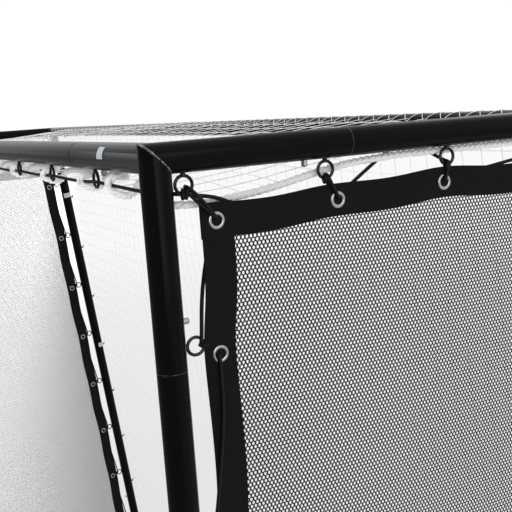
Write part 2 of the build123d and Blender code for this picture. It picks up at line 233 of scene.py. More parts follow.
def material(key):
    """Each finish is made once and shared."""
    if key not in MATERIALS:
        c = paint()
        recipes = {
            # Polyester powder coat: deep black and satin, with faint orange peel
            "powder_coat": lambda: surface("satin_powder_coat", c.coat, 0.24, spread=0.3, scale=900,
                                           bump=0.00003, shine=0.06),
            # The same coat, drawn thin and smooth over a rolled tube end
            "rolled_end": lambda: surface("coat_on_rolled_end", c.coat, 0.12, spread=0.2, scale=900,
                                          bump=0.00002, shine=0.8),
            # The bead is rippled; its light grey metal colour, spread by noise, paints glints on it
            "weld": lambda: surface("weld_bead_painted_glints", c.weld, 0.22, metal=0.75, spread=0.95, scale=260,
                                    bump=0.0008),
            # Woven polyester tape: dull, with a weft rib about every 3 mm along it, painted shade in the rib
            # valleys and painted light on the crests
            "webbing": lambda: surface("woven_polyester_tape", c.tape, 0.85, spread=0.3, scale=1500,
                                       bump=0.0012, weave=3.0 * MM, shine=0.2, uv=True,
                                       rib_shade_and_light=(0.3, 2.4)),
            # Warp-knitted polyester: matt black yarn, fuzzy at the edges
            "mesh": lambda: surface("knitted_hexagonal_mesh", c.yarn, 0.8, spread=0.4, scale=2500,
                                    bump=0.0002, shine=0.15),
            # Rubber core in a braided sleeve whose strands are about 1.5 mm wide, with painted shade between
            # the strands and painted light on them
            "lace": lambda: surface("braided_elastic_cord", c.lace, 0.6, spread=0.4, scale=1800,
                                    bump=0.0004, weave=1.5 * MM, shine=0.25),
            # Bent round wire under glossy enamel
            "eye": lambda: surface("enamelled_steel_wire", c.coat, 0.2, spread=0.2, scale=500,
                                   bump=0.00002, shine=0.3),
            # Nickel plate on rolled brass: mirror-like, with fine scuffs
            "nickel": lambda: surface("rolled_nickel_plate", c.metal, 0.16, metal=1.0, spread=0.12,
                                      scale=1200, bump=0.00004),
            # Bright zinc on drawn steel: greyer and softer than the nickel
            "zinc": lambda: surface("zinc_plated_steel", c.metal, 0.32, metal=1.0, spread=0.2,
                                    scale=700, bump=0.00003),
            # Knotless polyethylene twine: white and a little waxy
            "twine": lambda: surface("polyethylene_twine", c.twine, 0.5, spread=0.06, scale=1200,
                                     bump=0.0001, shine=0.3),
            # Loosely laid polypropylene rope: fluffy, so no clear highlight; a faint painted shade and light
            # follow its lay
            "rope": lambda: surface("laid_white_rope", c.rope, 0.85, spread=0.12, scale=900,
                                    bump=0.0006, weave=1.6 * MM, shine=0.2, rib_shade_and_light=(0.95, 1.08)),
            # Blank film, slightly translucent over the black
            "label": lambda: surface("blank_film_band", c.label, 0.45, spread=0.08, scale=500,
                                     bump=0.00002),
            # Moulded nylon with a fine spark-eroded texture
            "hook": lambda: surface("moulded_black_nylon", c.coat, 0.45, spread=0.2, scale=900,
                                    bump=0.00005, shine=0.3),
        }
        MATERIALS[key] = recipes[key]()
    return MATERIALS[key]


# ---- mesh helpers ------------------------------------------------------------------------------
def packed_mesh(name):
    """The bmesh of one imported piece, in the shared frame."""
    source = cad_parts[name]
    bm = bmesh.new()
    bm.from_mesh(source.data)
    bmesh.ops.transform(bm, matrix=source.matrix_world, verts=bm.verts)
    bmesh.ops.remove_doubles(bm, verts=bm.verts, dist=0.00001)
    return bm


def everything(bm):
    return bm.verts[:] + bm.edges[:] + bm.faces[:]


def of_kind(geom, kind):
    return [g for g in geom if isinstance(g, kind)]


def finish_piece(name, bm, key, body=BODY, stands_for=(), smooth=True, sharp=40):
    """Turns a bmesh into a piece that rides on a body and wears a finish."""
    mesh = bpy.data.meshes.new(name)
    if smooth:
        for face in bm.faces:
            face.smooth = True
        for edge in bm.edges:
            if len(edge.link_faces) == 2 and edge.calc_face_angle(0) > math.radians(sharp):
                edge.smooth = False
    bm.to_mesh(mesh)
    bm.free()
    made = bpy.data.objects.new(name, mesh)
    bpy.context.collection.objects.link(made)
    mesh.materials.append(material(key))
    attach(made, body)
    if stands_for:
        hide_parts(*stands_for)
    return made


def axes_matrix(origin, x_dir, z_dir):
    z = z_dir.normalized()
    x = (x_dir - z * x_dir.dot(z)).normalized()
    y = z.cross(x)
    return Matrix.Translation(origin) @ Matrix((x, y, z)).transposed().to_4x4()


def add_ring(bm, centre, axis, radius, wire, segments=28, sides=10, flat=1.0):
    """A torus about axis, made by spinning a circle; flat squashes it along the axis."""
    side = UP if abs(axis.z) < 0.9 else DEEP
    place = axes_matrix(centre, side, axis)
    disc = bmesh.ops.create_circle(bm, segments=sides, radius=wire,
                                   matrix=place @ Matrix.Translation((radius, 0, 0))
                                   @ Matrix.Rotation(math.pi / 2, 4, "X") @ Matrix.Diagonal((1, flat, 1, 1)))
    edges = {e for v in disc["verts"] for e in v.link_edges}
    bmesh.ops.spin(bm, geom=list(disc["verts"]) + list(edges), cent=centre, axis=axis,
                   angle=2 * math.pi, steps=segments, use_merge=True)


def add_rod(bm, start, end, radius, segments=12):
    along = end - start
    side = WIDE if abs(along.normalized().x) < 0.9 else DEEP
    bmesh.ops.create_cone(bm, cap_ends=True, segments=segments, radius1=radius, radius2=radius,
                          depth=along.length, matrix=axes_matrix((start + end) / 2, side, along))


def line_mesh(name, lines, smooth, resolution, radius=0.0, sides=0):
    """The mesh of a round cord through each line's points, or of the bare line without a radius."""
    data = bpy.data.curves.new(name, "CURVE")
    data.dimensions = "3D"
    data.bevel_depth = radius
    data.bevel_resolution = sides
    data.resolution_u = resolution
    data.use_fill_caps = radius > 0
    for points in lines:
        spline = data.splines.new("NURBS" if smooth else "POLY")
        spline.points.add(len(points) - 1)
        for target, p in zip(spline.points, points):
            target.co = (*p, 1)
        if smooth:
            spline.order_u = 3
            spline.use_endpoint_u = True
    holder = bpy.data.objects.new(name + "_line", data)
    bpy.context.collection.objects.link(holder)
    made = holder.evaluated_get(bpy.context.evaluated_depsgraph_get())
    mesh = bpy.data.meshes.new_from_object(made)
    bpy.data.objects.remove(holder)
    return mesh


def curve_piece(name, lines, radius, key, smooth=True, sides=1, stands_for=()):
    """A piece made of round cords."""
    mesh = line_mesh(name, lines, smooth, 5, radius, sides)
    bm = bmesh.new()
    bm.from_mesh(mesh)
    bpy.data.meshes.remove(mesh)
    return finish_piece(name, bm, key, stands_for=stands_for, sharp=80)


def spread(first, last, count):
    return [first + (last - first) * i / (count - 1) for i in range(count)]


# ---- stations round a panel --------------------------------------------------------------------
def frame_corners(sign):
    """Where one side's tubes meet: front top, back top, front foot and back foot."""
    return [Vector((sign * AXIS_X, y, z)) for y, z in (
        (MOUTH_Y, TOP_Z), (TOP_BACK_Y, TOP_Z), (MOUTH_Y, GROUND_Z), (GROUND_BACK_Y, GROUND_Z))]


def rear_axis_y(z):
    return TOP_BACK_Y + (TOP_Z - z) * LEAN


def stations(x):
    """(eye's tube point, direction to the ring, grommet centre) in lacing order."""
    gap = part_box("panel_webbing_right")[0][1] - MOUTH_Y
    top = TOP_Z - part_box("panel_webbing_right")[1][2]
    half = panel().webbing / 2
    high, low = TOP_Z - top - half, GROUND_Z + top + half
    front = MOUTH_Y + gap + half
    lift = top + half + GROMMET_DROP - POST_EYE_DROP
    pairs = []
    for eye_y, y in zip(spread(MOUTH_Y + EYE_INSET, TOP_BACK_Y - EYE_INSET, ACROSS),
                        spread(front, rear_axis_y(high) - gap - half, ACROSS)):
        pairs.append((Vector((x, eye_y, TOP_Z)), -UP, Vector((x, y, high))))
    for z in spread(high - GROMMET_DROP, low, DOWN)[:-1]:
        pairs.append((Vector((x, rear_axis_y(z + lift), z + lift)), -BACK_OUT,
                      Vector((x, rear_axis_y(z) - gap - half, z))))
    foot_inset = EYE_INSET + 2 * panel().eye_drop * LEAN
    for eye_y, y in zip(spread(GROUND_BACK_Y - foot_inset, MOUTH_Y + EYE_INSET, ACROSS + 1),
                        spread(rear_axis_y(low) - gap - half, front, ACROSS + 1)):
        pairs.append((Vector((x, eye_y, GROUND_Z)), UP, Vector((x, y, low))))
    for z in spread(low, high - GROMMET_DROP, DOWN)[1:]:
        pairs.append((Vector((x, MOUTH_Y, z + lift)), DEEP, Vector((x, front, z))))
    return pairs


def pulls():
    """How far each grommet is drawn towards its eye, in lacing order; the corners stay put."""
    give = random.Random(6)
    factor = [give.uniform(0.6, 1.4) for _ in range(FRONT + DOWN)]
    factor[:3] = [-0.2, 0.85, 1.8]
    factor[FOOT] = factor[FRONT] = 0.0
    factor[-1] = 1.3
    return [panel().pull * f for f in factor]


def drawn_holes(x):
    """Each grommet's middle once it is drawn, with its eye's tube point and the way to the eye."""
    return [(tube_point, outward, hole - outward * pull)
            for (tube_point, outward, hole), pull in zip(stations(x), pulls())]


def crossbar_eyes():
    """Where the eyes stand along the crossbar, from right to left."""
    found, place = [], AXIS_X - EYE_FIRST
    while place > 0:
        found += [place, -place]
        place -= EYE_PITCH
    return sorted(found, reverse=True)


# ---- operators ---------------------------------------------------------------------------------
class REBOUNDER_OT_tubes(bpy.types.Operator):
    """Powder coated tubes and corner fittings"""
    bl_idname = "rebounder.tubes"
    bl_label = "Tubes"
    starts = ("corner_", "crossbar_", "front_post", "back_post", "back_top_bar", "ground_")

    def execute(self, context):
        for name in [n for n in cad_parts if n.startswith(self.starts)]:
            finish_piece(name + "_coated", packed_mesh(name), "powder_coat",
                         stands_for=(name,), sharp=30)
        return {"FINISHED"}


class REBOUNDER_OT_welds(bpy.types.Operator):
    """Weld beads along the mitres"""
    bl_idname = "rebounder.welds"
    bl_label = "Welds"

    def execute(self, context):
        ripple = random.Random(4)
        bm = bmesh.new()
        ways = ((-UP, DEEP), (BACK_DOWN, -DEEP), (UP, DEEP), (-BACK_DOWN, -DEEP))
        for sign in SIDES.values():
            for point, (arm_a, arm_b) in zip(frame_corners(sign), ways):
                self.bead(bm, self.mitre(point, arm_a, arm_b), ripple)
        finish_piece("weld_beads", bm, "weld", sharp=60)
        return {"FINISHED"}

    def mitre(self, point, arm_a, arm_b):
        """The ellipse where two mitred tubes meet."""
        cut = (arm_a - arm_b).normalized()
        across = arm_a.cross(arm_b).normalized()
        long_way = cut.cross(across).normalized()
        stretch = TUBE_R / math.sin(math.acos(max(-1, min(1, arm_a.dot(arm_b)))) / 2)
        sink = 1 - 0.9 * MM / TUBE_R
        return [point + (across * (TUBE_R * math.cos(a)) + long_way * (stretch * math.sin(a))) * sink
                for a in (2 * math.pi * i / 96 for i in range(96))]

    def bead(self, bm, path, ripple):
        count, sides, verts = len(path), 8, []
        for i, p in enumerate(path):
            along = (path[(i + 1) % count] - path[i - 1]).normalized()
            radius = (1.4 + 0.3 * math.sin(i * 2.1) + ripple.uniform(-0.4, 0.5)) * MM
            place = axes_matrix(p, Vector((0.3, 0.5, 0.81)), along)
            verts.append(bmesh.ops.create_circle(bm, segments=sides, radius=radius, matrix=place)["verts"])
        edges = [list({e for v in ring for e in v.link_edges}) for ring in verts]
        for i in range(count):
            bmesh.ops.bridge_loops(bm, edges=edges[i] + edges[(i + 1) % count])


class REBOUNDER_OT_rolled_ends(bpy.types.Operator):
    """Rolled tube ends at every swaged seam"""
    bl_idname = "rebounder.rolled_ends"
    bl_label = "Rolled ends"

    def execute(self, context):
        bar, side, post = (e - TUBE_R for e in extent("corner_front_top_right"))
        bm = bmesh.new()
        for sign in SIDES.values():
            toward = WIDE * -sign
            top, back, foot, heel = frame_corners(sign)
            seams = [(top + toward * bar, WIDE), (top + DEEP * side, DEEP), (top - UP * post, UP),
                     (back + toward * bar, WIDE), (back + BACK_DOWN * post, BACK_DOWN),
                     (foot + UP * post, UP), (foot + DEEP * side, DEEP), (heel + toward * bar, WIDE),
                     (heel - BACK_DOWN * post, BACK_DOWN), (heel - DEEP * side, DEEP)]
            for point, axis in seams:
                add_ring(bm, point, axis, TUBE_R - 0.5 * MM, 0.65 * MM, segments=48, sides=8)
        finish_piece("rolled_tube_ends", bm, "rolled_end", sharp=80)
        return {"FINISHED"}


class REBOUNDER_OT_labels(bpy.types.Operator):
    """Bare film bands on the tubes"""
    bl_idname = "rebounder.labels"
    bl_label = "Labels"

    def execute(self, context):
        bm = bmesh.new()
        # Each band: its middle, the tube's way, the side its wrap starts from, the wrap's two angles
        # in degrees and its width
        self.band(bm, frame_corners(1)[0] + mm(-146, 0, 0), -WIDE, -DEEP, -4, 46, 24 * MM)
        for sign in SIDES.values():
            for down in (286 * MM, 1000 * MM):
                self.band(bm, frame_corners(sign)[1] + BACK_DOWN * down, BACK_DOWN, WIDE * -sign, -70, 50,
                          20 * MM)
        finish_piece("tube_labels", bm, "label")
        return {"FINISHED"}

    def band(self, bm, centre, along, facing, low, high, width):
        """A thin strip that wraps part of the way round a tube."""
        radius = TUBE_R + 0.25 * MM
        start = centre + facing * radius
        ends = [bm.verts.new(start - along * width / 2), bm.verts.new(start + along * width / 2)]
        edge = bm.edges.new(ends)
        bmesh.ops.rotate(bm, verts=ends, cent=centre, matrix=Matrix.Rotation(math.radians(low), 3, along))
        bmesh.ops.spin(bm, geom=ends + [edge], cent=centre, axis=along,
                       angle=math.radians(high - low), steps=20)


class REBOUNDER_OT_buttons(bpy.types.Operator):
    """Snap buttons and their springs"""
    bl_idname = "rebounder.buttons"
    bl_label = "Buttons"

    def execute(self, context):
        for name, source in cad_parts.items():
            if name.startswith("button_"):
                source.data.materials.clear()
                source.data.materials.append(material("zinc"))
        return {"FINISHED"}


class REBOUNDER_OT_eyes(bpy.types.Operator):
    """Wire eyes on the tubes"""
    bl_idname = "rebounder.eyes"
    bl_label = "Eyes"

    def execute(self, context):
        bm = bmesh.new()
        for sign in SIDES.values():
            for tube_point, outward, _ in stations(sign * AXIS_X):
                self.eye(bm, tube_point, outward, WIDE)
        for x in crossbar_eyes():
            self.eye(bm, Vector((x, MOUTH_Y, TOP_Z)), -UP, DEEP)
        finish_piece("wire_eyes", bm, "eye", stands_for=("lacing_eyes",))
        return {"FINISHED"}

    def eye(self, bm, tube_point, outward, normal):
        sizes = panel()
        centre = tube_point + outward * sizes.eye_drop
        add_ring(bm, centre, normal, sizes.eye, sizes.eye_wire, segments=24, sides=8)
        add_rod(bm, tube_point + outward * (TUBE_R - 0.5 * MM),
                centre - outward * sizes.eye, 3.2 * MM, segments=10)


class REBOUNDER_OT_webbing(bpy.types.Operator):
    """Woven border tape of each panel, drawn out at its grommets"""
    bl_idname = "rebounder.webbing"
    bl_label = "Webbing"

    def execute(self, context):
        for side, sign in SIDES.items():
            bm = bmesh.new()
            for start, end, inward, holes, lift in self.edges(sign * AXIS_X):
                self.strip(bm, start, end, inward, holes, lift)
            bmesh.ops.solidify(bm, geom=bm.faces[:], thickness=panel().webbing_thick)
            bmesh.ops.recalc_face_normals(bm, faces=bm.faces)
            finish_piece(f"webbing_{side}", bm, "webbing",
                         stands_for=(f"panel_webbing_{side}",))
        return {"FINISHED"}

    def edges(self, x):
        """Each border: its outer ends, the way in, its grommets and its layer."""
        holes = [hole for _, _, hole in stations(x)]
        half = panel().webbing / 2
        high, low = holes[0].z + half, holes[FOOT].z - half
        front = holes[0].y - half
        corners = [Vector((x, front, high)), Vector((x, rear_axis_y(high) - (front - MOUTH_Y), high)),
                   Vector((x, rear_axis_y(low) - (front - MOUTH_Y), low)), Vector((x, front, low))]
        pulled = [(hole, pull) for hole, pull in zip(holes, pulls())]
        sets = [pulled[:ACROSS], pulled[ACROSS - 1:FOOT + 1], pulled[FOOT:FRONT + 1],
                pulled[FRONT:] + pulled[:1]]
        ways = [-UP, -BACK_OUT, UP, DEEP]
        for i in range(4):
            yield corners[i], corners[(i + 1) % 4], ways[i], sets[i], 0.4 * MM * (i % 2)

    def strip(self, bm, start, end, inward, holes, lift):
        along = (end - start).normalized()
        total, width, rows = (end - start).length, panel().webbing, 4
        steps = max(8, round(total / (9 * MM)))
        spots = [((hole - start).dot(along), pull) for hole, pull in holes]
        first = [bm.verts.new(start + inward * (width * j / rows) + Vector((lift, 0, 0)))
                 for j in range(rows + 1)]
        edges = [bm.edges.new(first[j:j + 2]) for j in range(rows)]
        verts, faces = list(first), []
        for _ in range(steps):
            grown = bmesh.ops.extrude_edge_only(bm, edges=edges)["geom"]
            new = of_kind(grown, bmesh.types.BMVert)
            faces += of_kind(grown, bmesh.types.BMFace)
            bmesh.ops.translate(bm, verts=new, vec=along * (total / steps))
            edges = [e for e in of_kind(grown, bmesh.types.BMEdge) if all(v in new for v in e.verts)]
            verts += new
        thread = bm.loops.layers.uv.verify()
        for face in faces:
            for loop in face.loops:
                away = loop.vert.co - start
                loop[thread].uv = (away.dot(along), away.dot(inward))
        for vert in verts:
            s = (vert.co - start).dot(along)
            draw, calm = self.drawn(spots, s)
            vert.co -= inward * draw
            vert.co.x += 1.5 * MM * calm * math.sin(s * 23)

    def drawn(self, spots, s):
        """The tape's shift towards the tube at s, and how far that place is from a grommet, 0 to 1."""
        spots = sorted(spots)
        if s <= spots[0][0] or s >= spots[-1][0]:
            return (spots[0] if s <= spots[0][0] else spots[-1])[1], 0.0
        for (a, pull_a), (b, pull_b) in zip(spots, spots[1:]):
            if a <= s <= b:
                t = (s - a) / (b - a)
                calm = math.sin(math.pi * t) ** 2
                return pull_a + (pull_b - pull_a) * t * t * (3 - 2 * t) - panel().slack * calm, calm


class REBOUNDER_OT_mesh(bpy.types.Operator):
    """Knitted hexagonal mesh of each panel, in bands"""
    bl_idname = "rebounder.mesh"
    bl_label = "Rebounder mesh"
    bands = 4

    def execute(self, context):
        for side, sign in SIDES.items():
            x = sign * AXIS_X
            low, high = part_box(f"rebounder_mesh_{side}")
            over = 15 * MM
            bottom, top = low[2] - over, high[2] + over
            front = low[1] - over
            gap = front - MOUTH_Y
            rows_all = int((top - bottom) / panel().row)
            per_band = math.ceil(rows_all / self.bands)
            for band in range(self.bands):
                first = bottom + band * per_band * panel().row
                count = min(per_band, rows_all - band * per_band)
                bm = self.sheet(x, front, first, count, gap)
                names = (f"rebounder_mesh_{side}",) if band == 0 else ()
                made = finish_piece(f"hex_mesh_{side}_{band + 1}", bm, "mesh",
                                    stands_for=names, smooth=False)
                self.declare(made, side, band, front, first, count, gap)
        return {"FINISHED"}

    def declare(self, made, side, band, front, bottom, rows, gap):
        """Does nothing with the band; its holes are open, so its area would be the yarn's alone."""

    def sheet(self, x, front, bottom, rows, gap):
        """Rows of hexagons, each with its hole, cut back at the sloping rear edge."""
        cell, row, yarn = panel().cell, panel().row, panel().yarn
        widest = rear_axis_y(bottom) - gap - front
        columns = int(widest / cell) + 1
        bm = bmesh.new()
        tall = row * 2 / 3
        outline = [(0, -tall), (cell / 2, -tall / 2), (cell / 2, tall / 2), (0, tall),
                   (-cell / 2, tall / 2), (-cell / 2, -tall / 2)]
        bars = bmesh.ops.create_circle(bm, segments=6, radius=tall, cap_ends=True)
        for vert, (u, v) in zip(bars["verts"], outline):
            vert.co = (x, front + u, bottom + v)
        bm.normal_update()
        hexagon = bm.faces[:]
        bmesh.ops.inset_individual(bm, faces=hexagon, thickness=yarn / 2, use_even_offset=True)
        middle_point = Vector((x, front, bottom))
        bmesh.ops.scale(bm, vec=(1, HOLE_WIDE, HOLE_TALL), verts=list(hexagon[0].verts),
                        space=Matrix.Translation(-middle_point))
        bmesh.ops.delete(bm, geom=hexagon, context="FACES_ONLY")
        self.repeat(bm, Vector((0, cell, 0)), columns)
        single = bmesh.ops.duplicate(bm, geom=everything(bm))["geom"]
        bmesh.ops.translate(bm, vec=(0, cell / 2, row), verts=of_kind(single, bmesh.types.BMVert))
        self.repeat(bm, Vector((0, 0, 2 * row)), math.ceil(rows / 2))
        bmesh.ops.remove_doubles(bm, verts=bm.verts, dist=0.00002)
        edge_point = Vector((x, rear_axis_y(bottom) - gap, bottom))
        bmesh.ops.bisect_plane(bm, geom=everything(bm), plane_co=edge_point, plane_no=BACK_OUT,
                               clear_outer=True)
        return bm

    def repeat(self, bm, step, count):
        """Copies everything count times along step, doubling as it goes."""
        made = 1
        while made < count:
            take = min(made, count - made)
            copy = bmesh.ops.duplicate(bm, geom=everything(bm))["geom"]
            bmesh.ops.translate(bm, vec=step * take, verts=of_kind(copy, bmesh.types.BMVert))
            made += take


class REBOUNDER_OT_grommets(bpy.types.Operator):
    """Rolled grommets in the border tape"""
    bl_idname = "rebounder.grommets"
    bl_label = "Grommets"

    def execute(self, context):
        for side, sign in SIDES.items():
            bm = bmesh.new()
            for _, _, hole in drawn_holes(sign * AXIS_X):
                self.grommet(bm, hole)
            bmesh.ops.recalc_face_normals(bm, faces=bm.faces)
            finish_piece(f"rolled_grommets_{side}", bm, "nickel",
                         stands_for=(f"grommets_{side}",), sharp=70)
        return {"FINISHED"}

    def grommet(self, bm, centre):
        """A domed, rolled rim on both faces of the tape, joined through the hole."""
        sizes = panel()
        rim, bore, half = sizes.grommet, sizes.grommet_bore, sizes.webbing_thick / 2 + 0.6 * MM
        steps = [(rim, 0, -0.9), (rim, -0.5, 0.5), (rim, -1.6, 1.2), (rim, -3.2, 1.3), (bore, 0.8, 0.7),
                 (bore, 0, -0.6)]
        profile = [(edge + r * MM, half + h * MM) for edge, r, h in steps]
        profile += [(r, -h) for r, h in reversed(profile)]
        verts = [bm.verts.new(centre + Vector((h, r, 0))) for r, h in profile]
        edges = [bm.edges.new((a, b)) for a, b in zip(verts, verts[1:] + verts[:1])]
        bmesh.ops.spin(bm, geom=verts + edges, cent=centre, axis=(1, 0, 0), angle=2 * math.pi, steps=24,
                       use_merge=True)


class REBOUNDER_OT_lacing(bpy.types.Operator):
    """Elastic cord from eye to grommet round each panel"""
    bl_idname = "rebounder.lacing"
    bl_label = "Panel lacing"

    def execute(self, context):
        sizes = panel()
        reach = sizes.eye_drop + sizes.eye
        for side, sign in SIDES.items():
            out = WIDE * sign
            face = out * LACE_OFF
            line, wraps = [], bmesh.new()
            places = drawn_holes(sign * AXIS_X)
            for i, (tube_point, outward, hole) in enumerate(places):
                ring = tube_point + outward * (reach - 5 * MM)
                spot = hole - outward * (2.5 * MM)
                if i == 1:
                    # The cord stays behind the tape up to this grommet before it rises to the eye
                    line += [places[0][2] - face, hole + outward * 3 * MM - face]
                if i == 2:
                    # Here it first goes over the border rope under the tube
                    top = tube_point + mm(-sign * 24, -74, -14)
                    line += [top, top + mm(0, 14, 0), top + mm(0, 40, 0)]
                if i > FRONT:
                    # Up the front post the cord lies on the tape's face, then goes back through it
                    line += [spot + face + mm(0, 0, -80), spot + face + mm(0, 0, -22), spot + face,
                             spot - face * 0.7, ring - face, ring + face]
                else:
                    line += [ring - face, ring + face, (hole + ring) / 2 + face * 0.9, spot + face,
                             spot - face * 0.7]
                beside = out.cross(outward)
                for turn in ((0.5,) if i > FRONT else (-1, 1)):
                    add_ring(wraps, tube_point + outward * (reach + 0.5 * MM) + beside * (2.2 * MM * turn),
                             (out * 0.35 + beside).normalized(), 4.3 * MM, sizes.lace, segments=16,
                             sides=8)
            # It ends behind the tape below the corner
            corner = frame_corners(sign)[0]
            line += [corner + mm(-sign * a, b, c) for a, b, c in ((4, 47, -168), (7, 62, -110),
                                                                   (7, 72, -84))]
            # The corner is tied twice, with the second turn beside the first
            tube_point, outward, hole = places[0]
            ring = tube_point + outward * (reach - 5 * MM)
            beside = mm(0, 3.5, 3.5)
            second = [ring - face + beside, ring + face + out * MM + beside,
                      (ring + hole) / 2 + face * 1.2 + beside, hole + face + beside * 0.3, hole - face]
            # Its loose end comes from behind the post, past the eye
            loose = [corner + mm(-sign * a, b, c) for a, b, c in (
                (24, 6, -40), (6, 24, -43), (3, 56, -48), (3, 80, -53), (5, 98, -62))]
            curve_piece(f"lacing_{side}", [line, second, loose], sizes.lace, "lace",
                        sides=2, stands_for=(f"panel_lacing_{side}",))
            finish_piece(f"lacing_wraps_{side}", wraps, "lace")
        return {"FINISHED"}


# How far the side rope hangs below the tube's axis at each distance behind the mouth, in mm
ROPE_DROP = ((0, 57), (60, 59), (115, 55), (165, 48), (212, 38), (235, 34), (291, 27), (356, 24.5),
             (475, 24.5), (654, 24.5))


def side_drop(y):
    """How far the net's side edge hangs below the tube's axis, from the mouth to the back."""
    at = min(max((y - MOUTH_Y) / MM, 0), ROPE_DROP[-1][0] - 1)
    for (a, drop_a), (b, drop_b) in zip(ROPE_DROP, ROPE_DROP[1:]):
        if a <= at <= b:
            return (drop_a + (drop_b - drop_a) * (at - a) / (b - a)) * MM


def net_top_z(x, y):
    """Height of the top net: low at its side edges and mouth, over the bar at the back."""
    t = (y - MOUTH_Y) / (TOP_BACK_Y - MOUTH_Y)
    body = -40 * MM + (40 * MM + TUBE_R + net().twine) * t ** 1.15
    near_side = math.exp(-(AXIS_X - abs(x)) / 0.16)
    return TOP_Z + body * (1 - near_side) - side_drop(y) * near_side - 5 * MM * math.sin(x * 2.1) ** 2


class REBOUNDER_OT_net(bpy.types.Operator):
    """White square net over the top and down the back"""
    bl_idname = "rebounder.net"
    bl_label = "Net"

    def execute(self, context):
        square, twine = net().square, net().twine
        wander = random.Random(11)
        reach_x = AXIS_X - 12 * MM
        across = int(2 * reach_x / square)
        xs = spread(-reach_x, reach_x, across + 1)
        deep = round((TOP_BACK_Y - MOUTH_Y - 2 * TUBE_R) / square)
        ys = spread(MOUTH_Y + 12 * MM, TOP_BACK_Y, deep + 1)
        jitter = {(i, j): wander.uniform(-1, 1) * 2.5 * MM
                  for i in range(len(xs)) for j in range(len(ys))}

        def top_point(i, j):
            slack = 0 if j in (0, len(ys) - 1) else jitter[i, j]
            return Vector((xs[i] + slack, ys[j] - slack, net_top_z(xs[i], ys[j]) + slack * 0.4))

        top = [[top_point(i, j) for j in range(len(ys))] for i in range(len(xs))]
        top += [[top_point(i, j) for i in range(len(xs))] for j in range(1, len(ys))]
        curve_piece("net_top_twine", top, twine, "twine", smooth=False, sides=1,
                    stands_for=("net_top",))

        drop = HEIGHT / -BACK_DOWN.z
        rows = int(drop / square)
        crest = Vector((0, TOP_BACK_Y, TOP_Z))

        def back_point(i, j):
            along = drop * j / rows
            sag = 4 * MM * math.sin(xs[i] * 3 + j * 0.7)
            out = BACK_OUT * (TUBE_R + twine * 2 + (sag if 0 < j < rows else 0))
            return crest + BACK_DOWN * along + out + Vector((xs[i], 0, 0))

        over = [way.normalized() * (TUBE_R + twine) for way in (UP, UP + BACK_OUT)]
        back = [[crest + Vector((xs[i], 0, 0)) + p for p in over]
                + [back_point(i, j) for j in range(rows + 1)] for i in range(len(xs))]
        back += [[back_point(i, j) for i in range(len(xs))] for j in range(1, rows + 1)]
        bar_radius = TUBE_R + twine * 1.6
        round_bar = [math.radians(25 * k - 75) for k in range(7)]
        for left, right in zip(xs, xs[1:]):
            for start, way in ((left, 1), (right, -1)):
                back.append([crest + Vector((start + way * square * k / 6, bar_radius * math.sin(a),
                                             bar_radius * math.cos(a))) for k, a in enumerate(round_bar)])
        curve_piece("net_back_twine", back, twine, "twine", smooth=False, sides=1,
                    stands_for=("net_back",))
        return {"FINISHED"}


class REBOUNDER_OT_rope(bpy.types.Operator):
    """Twisted border rope and the cord that ties it to the crossbar"""
    bl_idname = "rebounder.rope"
    bl_label = "Net rope and lacing"

    def execute(self, context):
        radius = net().rope
        corner = frame_corners(1)[0]
        rear = TOP_BACK_Y - TUBE_R - 3 * radius
        side = [Vector((AXIS_X - 12 * MM, y, TOP_Z - side_drop(y)))
                for y in spread(rear, MOUTH_Y + 60 * MM, 16)]
        side += [corner + mm(-12, 24, -57), corner + mm(-30, 16, -55)]
        turns, eyes = [], crossbar_eyes()
        for x in eyes:
            for place, size in ((78, 15), (-56, 11)) if x == eyes[0] else ((-34, 11),):
                if x + place * MM > -AXIS_X + 90 * MM:
                    turns += self.bight(Vector((x, MOUTH_Y, TOP_Z)) + mm(place, 12, -37.5), size)
        self.twist(side + turns + self.mirrored(side), radius)
        lace = []
        for x in eyes:
            eye = Vector((x, MOUTH_Y, TOP_Z - panel().eye_drop - 3 * MM))
            lace += [eye + mm(14, 1, -1), eye - Vector((0, LACE_OFF * 0.3, 0)), eye + mm(-14, 1, -1),
                     eye + mm(-118, 4, -4)]
        ends = [corner + mm(-14, 6, -42), corner + mm(-60, 3, -41)]
        curve_piece("net_tie_cord", [ends + lace[:-1] + self.mirrored(ends)], panel().lace, "lace",
                    sides=2, stands_for=("net_lacing",))
        return {"FINISHED"}

    def mirrored(self, points):
        return [Vector((-p.x, p.y, p.z)) for p in reversed(points)]

    def bight(self, at, size):
        """One turn of the rope round the tie cord, towards smaller x."""
        return [at + mm(*p) for p in (
            (46, 8, 10), (20, 6, -0.9 * size), (0, -4, -size), (-14, -18, -2), (-2, -14, 0.8 * size),
            (8, 6, 0.7 * size), (-30, 10, 11))]

    def twist(self, route, radius):
        """Strands laid round the route's smooth line."""
        line = [v.co.copy() for v in line_mesh("rope_guide", [route], True, 6).vertices]
        fine = []
        for a, b in zip(line, line[1:]):
            pieces = max(1, round((b - a).length / (5 * MM)))
            fine += [a.lerp(b, k / pieces) for k in range(pieces)]
        strands = net().strands
        laid = [[] for _ in range(strands)]
        travelled = 0.0
        for i, p in enumerate(fine[:-1]):
            along = (fine[i + 1] - p).normalized()
            side = along.cross(Vector((0.02, 0.03, 1))).normalized()
            up = side.cross(along)
            for k in range(strands):
                turn = 2 * math.pi * (travelled / (30 * MM) + k / strands)
                laid[k].append(p + (side * math.cos(turn) + up * math.sin(turn)) * radius * 0.48)
            travelled += (fine[i + 1] - p).length
        curve_piece("border_rope", laid, radius * 0.56, "rope", smooth=False, sides=1,
                    stands_for=("net_border_rope",))


